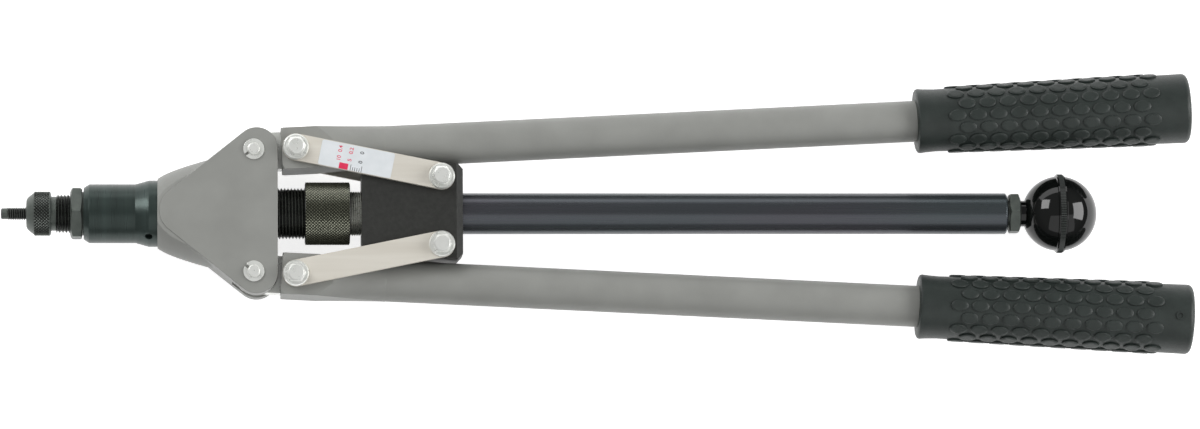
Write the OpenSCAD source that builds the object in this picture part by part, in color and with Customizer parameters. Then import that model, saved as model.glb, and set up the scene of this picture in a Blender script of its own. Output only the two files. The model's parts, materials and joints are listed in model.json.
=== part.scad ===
// Long-arm rivet nut tool, lying flat: the mandrel points along -X, the knob along +X, and the two arms
// spread in the XY plane. The origin is on the tool's axis at the front face of the anvil.

/* [Mandrel and anvil] */
// Outside diameter of the mandrel's thread
mandrel_d = 6; // [4:0.5:8]
// Length of mandrel that stands out of the anvil with the arms closed
mandrel_reach = 11.5; // [8:0.5:16]
// Length of the mandrel's plain tip
mandrel_tip_l = 2.6; // [1:0.1:4]
// Diameter of the anvil's knurled collar
anvil_d = 20.2; // [18.5:0.1:22]
// Length of the anvil's knurled collar
anvil_l = 11.2; // [8:0.1:14]
// Diameter of the flat that the rivet nut's flange seats on
anvil_face_d = 12.2; // [11:0.1:14]
// Length of the cone at the front of the collar
anvil_cone_l = 4.1; // [2:0.1:6]
// Diameter of the anvil's thread
anvil_thread_d = 17.5; // [16:0.1:18]
// Anvil thread left bare between the collar and the lock nut
anvil_bare_l = 8.6; // [4:0.1:12]
// Length of the plain neck between the collar and the thread
anvil_neck_l = 2.3; // [1:0.1:2.6]
// Anvil thread screwed into the barrel
anvil_grip_l = 10; // [8:0.5:12]
// Lock nut size across its flats
lock_nut_af = 22; // [20:0.5:24]
// Lock nut length
lock_nut_l = 6.1; // [4:0.1:9]

/* [Nose barrel] */
// Diameter of the barrel
barrel_d = 26.7; // [25:0.1:29]
// Length of the straight barrel
barrel_l = 23.3; // [20:0.1:30]
// Length of the cone that widens the barrel to its band
barrel_flare_l = 6.1; // [4:0.1:9]
// Diameter of the band behind the cone
barrel_band_d = 30.1; // [28:0.1:31]
// Length of the band
barrel_band_l = 3.9; // [3:0.1:6]
// Length of barrel screwed into the head
barrel_spigot_l = 17; // [12:0.5:18]
// Diameter of the spanner hole in the band
spanner_hole_d = 3.4; // [2:0.1:4]

/* [Head] */
// Length of the head along the tool's axis
head_l = 54.2; // [52:0.1:60]
// Thickness of the head across its flat cheeks
head_t = 31; // [29:0.5:33]
// Diameter of the head's round nose
head_nose_d = 31.6; // [31.2:0.1:33]
// Length of the nose's curved cone
nose_cone_l = 25.9; // [22:0.1:28]
// Diameter of the nose's cone where it runs into the cheeks
nose_cone_d = 50.4; // [46:0.1:52]
// How far the nose's cone bulges past a straight one
nose_bulge = 2.1; // [0.5:0.1:3]
// Radius of the two corners round the arm pivots
head_corner_r = 9.5; // [9:0.1:11]
// Distance of the arm pivots from the tool's axis
pivot_y = 27.7; // [27:0.1:32]
// Distance of the arm pivots from the back of the head
pivot_inset = 10.8; // [10:0.1:11.5]
// Diameter of the pivot pins and bolts
pivot_d = 6; // [4:0.5:6]
// Depth of the threaded sleeve in the head
sleeve_grip_l = 20; // [14:0.5:20]

/* [Stroke adjuster] */
// Outside diameter of the threaded sleeve
sleeve_d = 23.2; // [22.6:0.1:24.4]
// Diameter of the stroke nut
stroke_nut_d = 28.6; // [27:0.1:31]
// Length of the stroke nut
stroke_nut_l = 20.4; // [16:0.1:22]
// Gap between the stroke nut and the crosshead, which is the stroke it is set to
stroke_set = 5.2; // [5:0.1:7]
// Diameter of the draw tube
draw_tube_d = 20.2; // [19.6:0.1:20.4]

/* [Crosshead] */
// Thickness of the crosshead and of the arm yokes
block_t = 26.8; // [26:0.2:30]
// Half width of the crosshead at its front
crosshead_front_y = 18.4; // [17:0.1:19]
// Half width of the crosshead at its back
crosshead_back_y = 21.6; // [21:0.1:21.9]
// Crosshead length in front of its link bolts
crosshead_front_l = 36; // [34:0.5:38]
// Crosshead length behind its link bolts
crosshead_back_l = 9.8; // [9:0.1:12]
// Distance of the link bolts from the tool's axis
link_bolt_y = 15.4; // [14:0.1:16]

/* [Guide tube and knob] */
// Outside diameter of the guide tube
guide_tube_d = 18.7; // [18:0.1:20]
// Guide tube length behind the crosshead
guide_tube_l = 248.3; // [180:0.1:300]
// Wall of the guide tube
guide_tube_wall = 2; // [1:0.1:2.5]
// Guide tube length held in the crosshead
guide_tube_seat_l = 15; // [10:0.5:18]
// Diameter of the spindle
spindle_d = 10; // [8:0.5:10]
// Knob diameter
knob_d = 34.2; // [28:0.1:40]
// Jam nut size across its flats
jam_nut_af = 17; // [15:0.5:18]
// Jam nut length
jam_nut_l = 6; // [4:0.5:8]
// Length of the knob's neck behind the jam nut
knob_neck_l = 2.2; // [1:0.1:6]
// Width of the band round the knob's middle
knob_band_w = 4.2; // [2:0.1:6]

/* [Arms] */
// Angle of a closed arm to the tool's axis
arm_angle = 2.8; // [2.8:0.1:4]
// Distance from an arm's pivot to its link bolt
crank_l = 19; // [18.7:0.1:21]
// Length of an arm from its pivot to the end of its grip
arm_l = 428.6; // [380:0.1:470]
// Outside diameter of the arm tube
arm_d = 18.8; // [18:0.1:19]
// Wall of the arm tube
arm_wall = 2; // [1:0.1:3]
// Length of the yoke at the front of the arm
yoke_l = 48; // [42:0.1:54]
// Length of the yoke's change from a block to the round of the tube
yoke_taper_l = 32; // [20:0.1:36]
// Thickness of the lug that turns in the head
lug_t = 10; // [8:0.5:11]
// Grip length
grip_l = 126.5; // [100:0.5:140]
// Grip diameter at its front
grip_front_d = 28.4; // [26:0.1:30]
// Grip diameter at its end
grip_end_d = 31.8; // [29:0.1:34]

/* [Links and bolts] */
// Distance between the two bolts of a link
link_l = 67.1; // [66:0.1:70]
// Link width
link_w = 12; // [11:0.1:13]
// Link thickness
link_t = 3; // [2:0.1:4]
// Bolt head size across its flats
bolt_af = 8; // [7:0.1:8.5]
// Diameter of the flange under a bolt head or nut
bolt_flange_d = 12; // [11:0.1:12.5]

/* [Hidden] */
$fn = 64;
// Radial room of a pin or shaft that turns or slides in its hole
run_gap = 0.05;
// Radial room of a screwed or pressed seat
seat_gap = 0.04;
// Side room between faces that pass each other
side_gap = 0.1;
// Radial room for the free end of a link round its bolt
link_play = 0.8;
// Overlap that carries a cut past a face
over = 1;
edge = 1.2;

// Places along the tool's axis, from the front
lock_nut_x = anvil_l + anvil_bare_l;
barrel_x = lock_nut_x + lock_nut_l;
flare_x = barrel_x + barrel_l;
band_x = flare_x + barrel_flare_l;
head_x = band_x + barrel_band_l;
head_back_x = head_x + head_l;
pivot_x = head_back_x - pivot_inset;

// Link bolts: on the arm at its crank, and on the crosshead where the link reaches it
crank_x = pivot_x + crank_l * cos(arm_angle);
crank_y = pivot_y + crank_l * sin(arm_angle);
link_angle = asin((link_bolt_y - crank_y) / link_l);
link_bolt_x = crank_x + link_l * cos(link_angle);
crosshead_x = link_bolt_x - crosshead_front_l;
crosshead_back_x = link_bolt_x + crosshead_back_l;
crosshead_corner = 2.4;
crosshead_chamfer = 2.9;

// Stroke nut, and the sleeve that carries it
stroke_nut_back_x = crosshead_x - stroke_set;
stroke_nut_x = stroke_nut_back_x - stroke_nut_l;
sleeve_x = head_back_x - sleeve_grip_l;
sleeve_back_x = stroke_nut_back_x - edge;
sleeve_bore_d = draw_tube_d + 2 * run_gap;

// Draw tube, its cap and the mandrel's head behind the cap
barrel_bore_d = draw_tube_d + 4 * run_gap;
barrel_step_x = barrel_x + anvil_grip_l + edge;
draw_room = 11;
draw_tube_x = barrel_step_x + draw_room;
draw_tube_seat_l = 20;
draw_tube_back_x = crosshead_x + draw_tube_seat_l;
draw_tube_bore_d = 16;
draw_cap_l = 8;
mandrel_head_x = draw_tube_x + draw_cap_l;
mandrel_head_l = 7;
mandrel_head_d = 10;
mandrel_thread_h = 0.5;
mandrel_shank_d = mandrel_d - 2 * mandrel_thread_h;
socket_depth = 4;
socket_af = 5;

// Guide tube, spindle and knob
guide_tube_x = crosshead_back_x - guide_tube_seat_l;
guide_tube_back_x = crosshead_back_x + guide_tube_l;
guide_tube_bore_d = guide_tube_d - 2 * guide_tube_wall;
guide_tube_chamfer = 0.7;
bush_l = 12;
collar_l = 3;
jam_nut_x = guide_tube_back_x + 3 * side_gap;
jam_nut_back_x = jam_nut_x + jam_nut_l;
knob_face_x = jam_nut_back_x + knob_neck_l;
knob_neck_d = 11.8;
knob_flat_d = 13;
knob_band_h = 0.5;
knob_x = knob_face_x + sqrt(pow(knob_d / 2, 2) - pow(knob_flat_d / 2, 2));
knob_thread_l = 14;

// Arm, measured along its own axis from its pivot
yoke_gap = 1.8;
yoke_x = pivot_inset + yoke_gap;
yoke_back_x = yoke_x + yoke_l;
yoke_proud = 0.05;
yoke_spigot_l = 25;
lug_r = 8.5;
lug_tongue_l = 19;
lug_tongue_y = 7;
arm_bore_d = arm_d - 2 * arm_wall;
grip_x = arm_l - grip_l;
grip_cap_t = 4;
arm_end_x = arm_l - grip_cap_t;

// Levels of the links and bolts over the tool's middle plane
link_z = block_t / 2 + side_gap;
bolt_seat_z = link_z + link_t + side_gap;
flange_t = 1.2;
hex_h = 3.6;
hex_top_bevel = 0.7;
nut_face_l = 0.8;
nut_step = 0.7;
nut_af = bolt_af + 2 * nut_step;
nut_h = 4.2;
bolt_tail = 1;
clip_d = 9.4;
clip_t = 0.8;
clip_gap_w = 1.2;
clip_gap_angle = 215;
pin_groove = 0.5;
pin_neck_d = pivot_d - 2 * pin_groove;

// Upper side is +1 and lower side is -1
module on_side(side) {
    mirror([0, side < 0 ? 1 : 0, 0]) children();
}

module on_both_sides() {
    for (side = [1, -1]) on_side(side) children();
}

// Arm frame: X runs along the arm from its pivot
module on_arm(side) {
    on_side(side) translate([pivot_x, pivot_y, 0]) rotate([0, 0, arm_angle]) children();
}

// Link frame: X runs along the link from its bolt on the arm
module on_link(side) {
    on_side(side) translate([crank_x, crank_y, 0]) rotate([0, 0, link_angle]) children();
}

// Round bar along X
module bar(d, x0, x1) {
    translate([x0, 0, 0]) rotate([0, 90, 0]) cylinder(d = d, h = x1 - x0);
}

// Hexagonal bar along X, with corners at the front and back of the tool
module hex_bar(af, x0, x1) {
    translate([x0, 0, 0]) rotate([0, 90, 0]) cylinder(d = af / cos(30), h = x1 - x0, $fn = 6);
}

// Solid of revolution round X from points of [radius, x]
module turned(points) {
    rotate([0, 90, 0]) rotate_extrude() polygon(points);
}

// Hexagon nut along X, bevelled at its outer end and with a round face at its seat
module hex_nut(af, outer_x, seat_x, bore_d) {
    inward = sign(seat_x - outer_x);
    corner_r = af / cos(30) / 2;
    face_r = (af + bore_d) / 4;
    back_x = seat_x - inward * nut_face_l;
    x0 = min(outer_x, seat_x);
    x1 = max(outer_x, seat_x);
    difference() {
        intersection() {
            hex_bar(af, x0, x1);
            turned([
                [0, outer_x], [face_r, outer_x], [corner_r, outer_x + inward * edge],
                [corner_r, back_x - inward * edge / 2], [af / 2, back_x], [face_r, back_x],
                [face_r, seat_x], [0, seat_x]
            ]);
        }
        bar(bore_d, x0 - over, x1 + over);
    }
}

// Upright hole through the whole tool
module pivot_hole(x, y, gap) {
    translate([x, y, 0]) cylinder(d = pivot_d + 2 * gap, h = 4 * block_t, center = true);
}

// Hexagon that stands on Z, with its top corners turned off
module bevelled_hex(af, h) {
    top_d = af - 2 * hex_top_bevel;
    intersection() {
        cylinder(d = af / cos(30), h = h, $fn = 6);
        cylinder(d1 = top_d + 2 * h, d2 = top_d, h = h);
    }
}

// Flange bolt that stands on Z, with its seat at +seat_z and its tail through a nut below -seat_z
module flange_bolt(seat_z) {
    tail_z = seat_z + flange_t + nut_h + bolt_tail;
    translate([0, 0, -tail_z]) cylinder(d = pivot_d, h = tail_z + seat_z);
    translate([0, 0, seat_z]) cylinder(d1 = bolt_flange_d, d2 = bolt_flange_d - edge, h = flange_t);
    translate([0, 0, seat_z]) bevelled_hex(bolt_af, flange_t + hex_h);
}

// Flange nut under -seat_z
module flange_nut(seat_z) {
    translate([0, 0, -seat_z]) mirror([0, 0, 1]) difference() {
        union() {
            cylinder(d1 = bolt_flange_d, d2 = bolt_flange_d - edge, h = flange_t);
            bevelled_hex(nut_af, flange_t + nut_h);
        }
        translate([0, 0, -over]) cylinder(d = pivot_d + 2 * seat_gap, h = flange_t + nut_h + 2 * over);
    }
}

// Direction, seen from the centres of two circles, of the straight side that touches both on the left
function side_angle(c0, r0, c1, r1) =
    let (v = c1 - c0) atan2(v[1], v[0]) + acos((r0 - r1) / norm(v));

// Points of an arc from angle a0 to a1
function arc(c, r, a0, a1) = [
    for (i = [0 : arc_steps])
        let (a = a0 + (a1 - a0) * i / arc_steps) c + r * [cos(a), sin(a)]
];

// Points of a curve that leaves a towards b and arrives at c from b
function curve(a, b, c) = [
    for (i = [0 : curve_steps])
        let (t = i / curve_steps) a * (1 - t) * (1 - t) + b * 2 * t * (1 - t) + c * t * t
];

// Head
arc_steps = 20;
curve_steps = 10;
nose_bulge_x = 5;
corner_rise = 0.5;
cheek_centre = [head_back_x - head_corner_r, pivot_y + corner_rise];
cheek_nose_r = 11;
cheek_nose_gap = 0.8;
cheek_proud = 0.3;
slot_y = pivot_y - lug_r - edge;

// Flat cheek: a round tip at the nose, straight sides and a round corner at each pivot
module cheek_outline() {
    tip_centre = [head_x + cheek_nose_gap + cheek_nose_r, 0];
    side = side_angle(tip_centre, cheek_nose_r, cheek_centre, head_corner_r);
    upper = concat(arc(tip_centre, cheek_nose_r, 180, side), arc(cheek_centre, head_corner_r, side, 0));
    lower = [for (i = [len(upper) - 1 : -1 : 1]) [upper[i][0], -upper[i][1]]];
    polygon(concat(upper, lower));
}

// Turned nose, milled flat a little under the cheeks
module head_nose() {
    front = [head_nose_d / 2, head_x];
    back = [nose_cone_d / 2, head_x + nose_cone_l];
    bulge = [nose_bulge + (back[0] - front[0]) * nose_bulge_x / nose_cone_l, nose_bulge_x];
    intersection() {
        turned(concat([[0, head_x]], curve(front, front + bulge, back), [[0, back[1]]]));
        cube([2 * head_back_x, 2 * head_back_x, head_t - 2 * cheek_proud], center = true);
    }
}

module head_casting() {
    color("gray") difference() {
        union() {
            linear_extrude(head_t, center = true) cheek_outline();
            head_nose();
        }
        // Slots that the arm lugs turn in, open at the back and at the outer side
        on_both_sides() translate([pivot_x - lug_r - edge, slot_y, -lug_t / 2 - side_gap])
            cube([head_l, head_l, lug_t + 2 * side_gap]);
        on_both_sides() pivot_hole(pivot_x, pivot_y, seat_gap);
        bar(barrel_spigot_d + 2 * seat_gap, head_x - over, head_x + barrel_spigot_l);
        bar(barrel_bore_d, head_x, head_back_x);
        bar(sleeve_d + 2 * seat_gap, sleeve_x, head_back_x + over);
    }
}

// Nose
anvil_neck_h = 1;
spigot_step = 1;
barrel_spigot_d = barrel_d - 2 * spigot_step;
barrel_chamfer_l = 2.5;
barrel_chamfer_h = 1.6;
spanner_hole_angle = 50;
spanner_hole_depth = 3;

module nose_barrel() {
    color("dimgray") difference() {
        turned([
            [barrel_bore_d / 2, barrel_step_x], [anvil_thread_d / 2 + seat_gap, barrel_step_x],
            [anvil_thread_d / 2 + seat_gap, barrel_x], [barrel_d / 2 - barrel_chamfer_h, barrel_x],
            [barrel_d / 2, barrel_x + barrel_chamfer_l], [barrel_d / 2, flare_x], [barrel_band_d / 2, band_x],
            [barrel_band_d / 2, head_x], [barrel_spigot_d / 2, head_x],
            [barrel_spigot_d / 2, head_x + barrel_spigot_l], [barrel_bore_d / 2, head_x + barrel_spigot_l]
        ]);
        translate([band_x, 0, 0]) rotate([spanner_hole_angle, 0, 0])
            translate([0, 0, barrel_band_d / 2 - spanner_hole_depth])
                cylinder(d = spanner_hole_d, h = barrel_band_d);
    }
}

module anvil() {
    thread_x = anvil_l + anvil_neck_l;
    thread_end_x = barrel_x + anvil_grip_l;
    bore_r = mandrel_d / 2 + 2 * run_gap;
    neck_r = anvil_thread_d / 2 - anvil_neck_h;
    color("dimgray") turned([
        [bore_r, 0], [anvil_face_d / 2, 0], [anvil_face_d / 2 + edge, edge / 2], [anvil_d / 2, anvil_cone_l],
        [anvil_d / 2, anvil_l - edge / 2], [anvil_d / 2 - edge, anvil_l], [neck_r, anvil_l],
        [neck_r, thread_x], [anvil_thread_d / 2, thread_x + anvil_neck_h],
        [anvil_thread_d / 2, thread_end_x], [bore_r, thread_end_x]
    ]);
}

module anvil_lock_nut() {
    color("dimgray") hex_nut(lock_nut_af, lock_nut_x, barrel_x, anvil_thread_d + 2 * seat_gap);
}

module threaded_sleeve() {
    color("#1c1c1c") turned([
        [sleeve_bore_d / 2, sleeve_x], [sleeve_d / 2, sleeve_x], [sleeve_d / 2, sleeve_back_x - edge / 2],
        [sleeve_d / 2 - edge / 2, sleeve_back_x], [sleeve_bore_d / 2, sleeve_back_x]
    ]);
}

// Pivot pins of the head, with a head at the back and a clip groove at the front
module head_pins() {
    head_h = 1.6;
    seat_z = head_t / 2;
    color("silver") on_both_sides() translate([pivot_x, pivot_y, 0]) {
        translate([0, 0, -seat_z - head_h]) cylinder(d = clip_d, h = head_h);
        translate([0, 0, -seat_z]) cylinder(d = pivot_d, h = 2 * seat_z);
        translate([0, 0, seat_z]) cylinder(d = pin_neck_d, h = clip_t + side_gap);
        translate([0, 0, seat_z + clip_t + side_gap]) cylinder(d1 = pivot_d, d2 = pin_neck_d, h = 1);
    }
}

module head_pin_clips() {
    color("gainsboro") on_both_sides() translate([pivot_x, pivot_y, head_t / 2]) difference() {
        cylinder(d = clip_d, h = clip_t);
        translate([0, 0, -over]) cylinder(d = pin_neck_d + 2 * seat_gap, h = clip_t + 2 * over);
        rotate([0, 0, clip_gap_angle]) translate([0, -clip_gap_w / 2, -over])
            cube([clip_d, clip_gap_w, clip_t + 2 * over]);
    }
}

// Stroke nut that turns on the sleeve
module stroke_nut() {
    color("#2a2a2a") turned([
        [sleeve_d / 2 + run_gap, stroke_nut_x], [stroke_nut_d / 2 - edge / 2, stroke_nut_x],
        [stroke_nut_d / 2, stroke_nut_x + edge / 2], [stroke_nut_d / 2, stroke_nut_back_x - edge / 2],
        [stroke_nut_d / 2 - edge / 2, stroke_nut_back_x], [sleeve_d / 2 + run_gap, stroke_nut_back_x]
    ]);
}

// Crosshead, draw tube and guide tube slide together
module crosshead() {
    half_t = block_t / 2;
    color("#202020") difference() {
        intersection() {
            linear_extrude(block_t, center = true) polygon([
                [crosshead_x, -crosshead_front_y], [crosshead_back_x - crosshead_corner, -crosshead_back_y],
                [crosshead_back_x, -crosshead_back_y + crosshead_corner],
                [crosshead_back_x, crosshead_back_y - crosshead_corner],
                [crosshead_back_x - crosshead_corner, crosshead_back_y], [crosshead_x, crosshead_front_y]
            ]);
            // Side view, with a chamfer along both rear edges
            rotate([90, 0, 0]) linear_extrude(2 * crosshead_back_y + over, center = true) polygon([
                [crosshead_x - over, -half_t], [crosshead_back_x - crosshead_chamfer, -half_t],
                [crosshead_back_x, -half_t + crosshead_chamfer], [crosshead_back_x, half_t - crosshead_chamfer],
                [crosshead_back_x - crosshead_chamfer, half_t], [crosshead_x - over, half_t]
            ]);
        }
        bar(draw_tube_d + 2 * seat_gap, crosshead_x - over, draw_tube_back_x);
        bar(spindle_d + 2 * run_gap, crosshead_x, crosshead_back_x);
        bar(guide_tube_d + 2 * seat_gap, guide_tube_x, crosshead_back_x + over);
        on_both_sides() pivot_hole(link_bolt_x, link_bolt_y, seat_gap);
    }
}

module draw_tube() {
    color("#2a2a2a") difference() {
        bar(draw_tube_d, draw_tube_x, draw_tube_back_x);
        bar(draw_tube_bore_d, draw_tube_x - over, draw_tube_back_x + over);
    }
}

module draw_cap() {
    color("dimgray") difference() {
        bar(draw_tube_bore_d - 2 * seat_gap, draw_tube_x, mandrel_head_x);
        bar(mandrel_shank_d + 2 * run_gap, draw_tube_x - over, mandrel_head_x + over);
    }
}

module guide_tube() {
    outer_r = guide_tube_d / 2;
    bore_r = guide_tube_bore_d / 2;
    color("#14161c") turned([
        [bore_r, guide_tube_x], [outer_r, guide_tube_x], [outer_r, guide_tube_back_x - guide_tube_chamfer],
        [outer_r - guide_tube_chamfer, guide_tube_back_x], [bore_r, guide_tube_back_x]
    ]);
}

module guide_tube_bush() {
    color("goldenrod") difference() {
        bar(guide_tube_bore_d - 2 * seat_gap, guide_tube_back_x - bush_l, guide_tube_back_x);
        bar(spindle_d + 2 * run_gap, guide_tube_back_x - bush_l - over, guide_tube_back_x + over);
    }
}

module crosshead_bolts() {
    color("silver") on_both_sides() translate([link_bolt_x, link_bolt_y, 0]) flange_bolt(bolt_seat_z);
}

module crosshead_nuts() {
    color("silver") on_both_sides() translate([link_bolt_x, link_bolt_y, 0]) flange_nut(bolt_seat_z);
}

// Spindle, from the key in the mandrel's head to the thread in the knob
module spindle() {
    socket_x = mandrel_head_x + mandrel_head_l - socket_depth;
    shoulder_x = mandrel_head_x + mandrel_head_l + side_gap;
    color("silver") {
        hex_bar(socket_af - 2 * seat_gap, socket_x + side_gap, shoulder_x);
        bar(spindle_d, shoulder_x, knob_face_x + knob_thread_l);
    }
}

module spindle_collar() {
    collar_back_x = guide_tube_back_x - bush_l - side_gap;
    color("silver") difference() {
        bar(guide_tube_bore_d - 6 * side_gap, collar_back_x - collar_l, collar_back_x);
        bar(spindle_d + 2 * seat_gap, collar_back_x - collar_l - over, collar_back_x + over);
    }
}

module mandrel() {
    tip_x = -mandrel_reach;
    tip_r = mandrel_d / 2 - mandrel_thread_h;
    thread_x = tip_x + mandrel_tip_l;
    socket_x = mandrel_head_x + mandrel_head_l - socket_depth;
    color("#303030") difference() {
        turned([
            [0, tip_x], [tip_r - mandrel_thread_h, tip_x], [tip_r, tip_x + mandrel_thread_h], [tip_r, thread_x],
            [mandrel_d / 2, thread_x + mandrel_thread_h],
            [mandrel_d / 2, 0], [mandrel_shank_d / 2, 0], [mandrel_shank_d / 2, mandrel_head_x],
            [mandrel_head_d / 2, mandrel_head_x], [mandrel_head_d / 2, mandrel_head_x + mandrel_head_l],
            [0, mandrel_head_x + mandrel_head_l]
        ]);
        hex_bar(socket_af, socket_x, mandrel_head_x + mandrel_head_l + over);
    }
}

module knob_jam_nut() {
    color("dimgray") hex_nut(jam_nut_af, jam_nut_back_x, jam_nut_x, spindle_d + 2 * seat_gap);
}

module ball_knob() {
    color("black") difference() {
        rotate([0, 90, 0]) rotate_extrude() {
            intersection() {
                translate([0, knob_x]) circle(d = knob_d);
                translate([0, knob_face_x]) square(knob_d);
            }
            translate([0, jam_nut_back_x]) square([knob_neck_d / 2, knob_neck_l + over]);
            translate([0, knob_x - knob_band_w / 2]) square([knob_d / 2 + knob_band_h, knob_band_w]);
        }
        bar(spindle_d + 2 * seat_gap, jam_nut_back_x - over, knob_face_x + knob_thread_l);
    }
}

// Arm pieces in the arm frame
module arm_yoke() {
    block_r = norm([arm_d, block_t]) / 2;
    tube_r = arm_d / 2 + yoke_proud;
    front = [block_r, yoke_back_x - yoke_taper_l];
    back = [tube_r, yoke_back_x];
    bend = [tube_r, yoke_back_x - yoke_taper_l / 2];
    difference() {
        union() {
            intersection() {
                translate([yoke_x, -arm_d / 2, -block_t / 2]) cube([yoke_l, arm_d, block_t]);
                turned(concat(
                    [[0, yoke_x], [block_r - edge, yoke_x], [block_r + over, yoke_x + edge + over],
                     [block_r + over, front[1] - over]],
                    curve(front, bend, back), [[0, yoke_back_x]]
                ));
            }
            bar(arm_bore_d - 2 * seat_gap, yoke_back_x - over, yoke_back_x + yoke_spigot_l);
        }
        translate([yoke_x - over, -lug_tongue_y - seat_gap, -lug_t / 2 - seat_gap])
            cube([lug_tongue_l + over + seat_gap, 2 * (lug_tongue_y + seat_gap), lug_t + 2 * seat_gap]);
        pivot_hole(crank_l, 0, seat_gap);
    }
}

module arm_lug() {
    difference() {
        linear_extrude(lug_t, center = true) {
            circle(r = lug_r);
            translate([0, -lug_r]) square([yoke_x, 2 * lug_r]);
            translate([0, -lug_tongue_y]) square([yoke_x + lug_tongue_l, 2 * lug_tongue_y]);
        }
        pivot_hole(0, 0, run_gap);
        pivot_hole(crank_l, 0, seat_gap);
    }
}

module arm_tube() {
    difference() {
        bar(arm_d, yoke_back_x, arm_end_x);
        bar(arm_bore_d, yoke_back_x - over, arm_end_x + over);
    }
}

module arm_grip() {
    bore_r = arm_d / 2 + seat_gap;
    lip_l = 9;
    lip_h = 0.5;
    end_round = 4;
    front_r = grip_front_d / 2;
    end_r = grip_end_d / 2;
    turned(concat(
        [[bore_r, grip_x], [front_r + lip_h - edge, grip_x], [front_r + lip_h, grip_x + edge]],
        [[front_r, grip_x + lip_l]],
        [for (a = [0 : 15 : 90]) [end_r - end_round + end_round * cos(a), arm_l - end_round + end_round * sin(a)]],
        [[0, arm_l], [0, arm_end_x], [bore_r, arm_end_x]]
    ));
}

module upper_arm_yoke() {
    color("gray") on_arm(1) arm_yoke();
}

module upper_arm_lug() {
    color("silver") on_arm(1) arm_lug();
}

module upper_arm_tube() {
    color("gray") on_arm(1) arm_tube();
}

module upper_arm_grip() {
    color("#1d2422") on_arm(1) arm_grip();
}

module upper_arm_bolt() {
    color("silver") on_arm(1) translate([crank_l, 0, 0]) flange_bolt(bolt_seat_z);
}

module upper_arm_nut() {
    color("silver") on_arm(1) translate([crank_l, 0, 0]) flange_nut(bolt_seat_z);
}

module lower_arm_yoke() {
    color("gray") on_arm(-1) arm_yoke();
}

module lower_arm_lug() {
    color("silver") on_arm(-1) arm_lug();
}

module lower_arm_tube() {
    color("gray") on_arm(-1) arm_tube();
}

module lower_arm_grip() {
    color("#1d2422") on_arm(-1) arm_grip();
}

module lower_arm_bolt() {
    color("silver") on_arm(-1) translate([crank_l, 0, 0]) flange_bolt(bolt_seat_z);
}

module lower_arm_nut() {
    color("silver") on_arm(-1) translate([crank_l, 0, 0]) flange_nut(bolt_seat_z);
}

// Link plate in the link frame, standing on its inner face
module link_plate() {
    difference() {
        linear_extrude(link_t) {
            circle(d = link_w);
            translate([0, -link_w / 2]) square([link_l, link_w]);
            translate([link_l, 0]) circle(d = link_w);
        }
        pivot_hole(0, 0, run_gap);
        pivot_hole(link_l, 0, link_play);
    }
}

module link_front(side) {
    color("gainsboro") on_link(side) translate([0, 0, link_z]) link_plate();
}

module link_back(side) {
    color("gainsboro") on_link(side) mirror([0, 0, 1]) translate([0, 0, link_z]) link_plate();
}

module upper_link_front() {
    link_front(1);
}

module upper_link_back() {
    link_back(1);
}

module lower_link_front() {
    link_front(-1);
}

module lower_link_back() {
    link_back(-1);
}

head_casting();
nose_barrel();
anvil();
anvil_lock_nut();
threaded_sleeve();
head_pins();
head_pin_clips();
stroke_nut();
crosshead();
draw_tube();
draw_cap();
guide_tube();
guide_tube_bush();
crosshead_bolts();
crosshead_nuts();
spindle();
spindle_collar();
mandrel();
knob_jam_nut();
ball_knob();
upper_arm_yoke();
upper_arm_lug();
upper_arm_tube();
upper_arm_grip();
upper_arm_bolt();
upper_arm_nut();
lower_arm_yoke();
lower_arm_lug();
lower_arm_tube();
lower_arm_grip();
lower_arm_bolt();
lower_arm_nut();
upper_link_front();
upper_link_back();
lower_link_front();
lower_link_back();
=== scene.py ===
# %% [markdown]
# # A long-arm rivet nut tool
# The tool on the bench is a steel nose, a painted cast head, a sliding crosshead and two long arms with rubber
# grips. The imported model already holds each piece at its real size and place. What it leaves out is what the eye
# looks for: threads, knurls, soft edges, the pads on the grips and the finish of each metal. This lesson adds those.

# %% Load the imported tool
import json
import math

import bmesh
import bpy
from mathutils import Matrix, Vector


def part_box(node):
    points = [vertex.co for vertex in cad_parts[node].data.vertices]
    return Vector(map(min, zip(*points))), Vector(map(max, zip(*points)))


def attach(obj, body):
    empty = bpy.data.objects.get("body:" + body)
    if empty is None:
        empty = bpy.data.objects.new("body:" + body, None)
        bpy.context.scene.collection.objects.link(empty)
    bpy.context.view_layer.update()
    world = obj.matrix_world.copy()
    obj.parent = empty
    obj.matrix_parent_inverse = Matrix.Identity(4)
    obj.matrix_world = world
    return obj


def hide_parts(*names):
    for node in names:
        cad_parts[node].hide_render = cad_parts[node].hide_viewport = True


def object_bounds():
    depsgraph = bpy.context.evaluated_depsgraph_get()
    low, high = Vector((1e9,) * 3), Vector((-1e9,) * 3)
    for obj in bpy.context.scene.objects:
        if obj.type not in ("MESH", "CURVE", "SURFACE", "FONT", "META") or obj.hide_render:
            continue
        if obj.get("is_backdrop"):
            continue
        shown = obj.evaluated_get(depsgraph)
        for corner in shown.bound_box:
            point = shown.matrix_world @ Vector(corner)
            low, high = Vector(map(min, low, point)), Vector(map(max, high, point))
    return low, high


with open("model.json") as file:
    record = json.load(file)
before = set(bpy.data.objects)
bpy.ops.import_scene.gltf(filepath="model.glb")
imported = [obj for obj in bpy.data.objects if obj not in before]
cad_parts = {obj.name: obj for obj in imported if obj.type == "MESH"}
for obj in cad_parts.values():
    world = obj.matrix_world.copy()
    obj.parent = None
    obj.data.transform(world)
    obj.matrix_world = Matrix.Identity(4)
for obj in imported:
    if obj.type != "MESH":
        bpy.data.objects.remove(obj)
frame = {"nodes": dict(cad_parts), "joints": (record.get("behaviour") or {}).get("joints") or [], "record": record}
cad_low, cad_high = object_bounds()
MM = 0.001
print("pieces in the frame:", len(frame["nodes"]))

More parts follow.
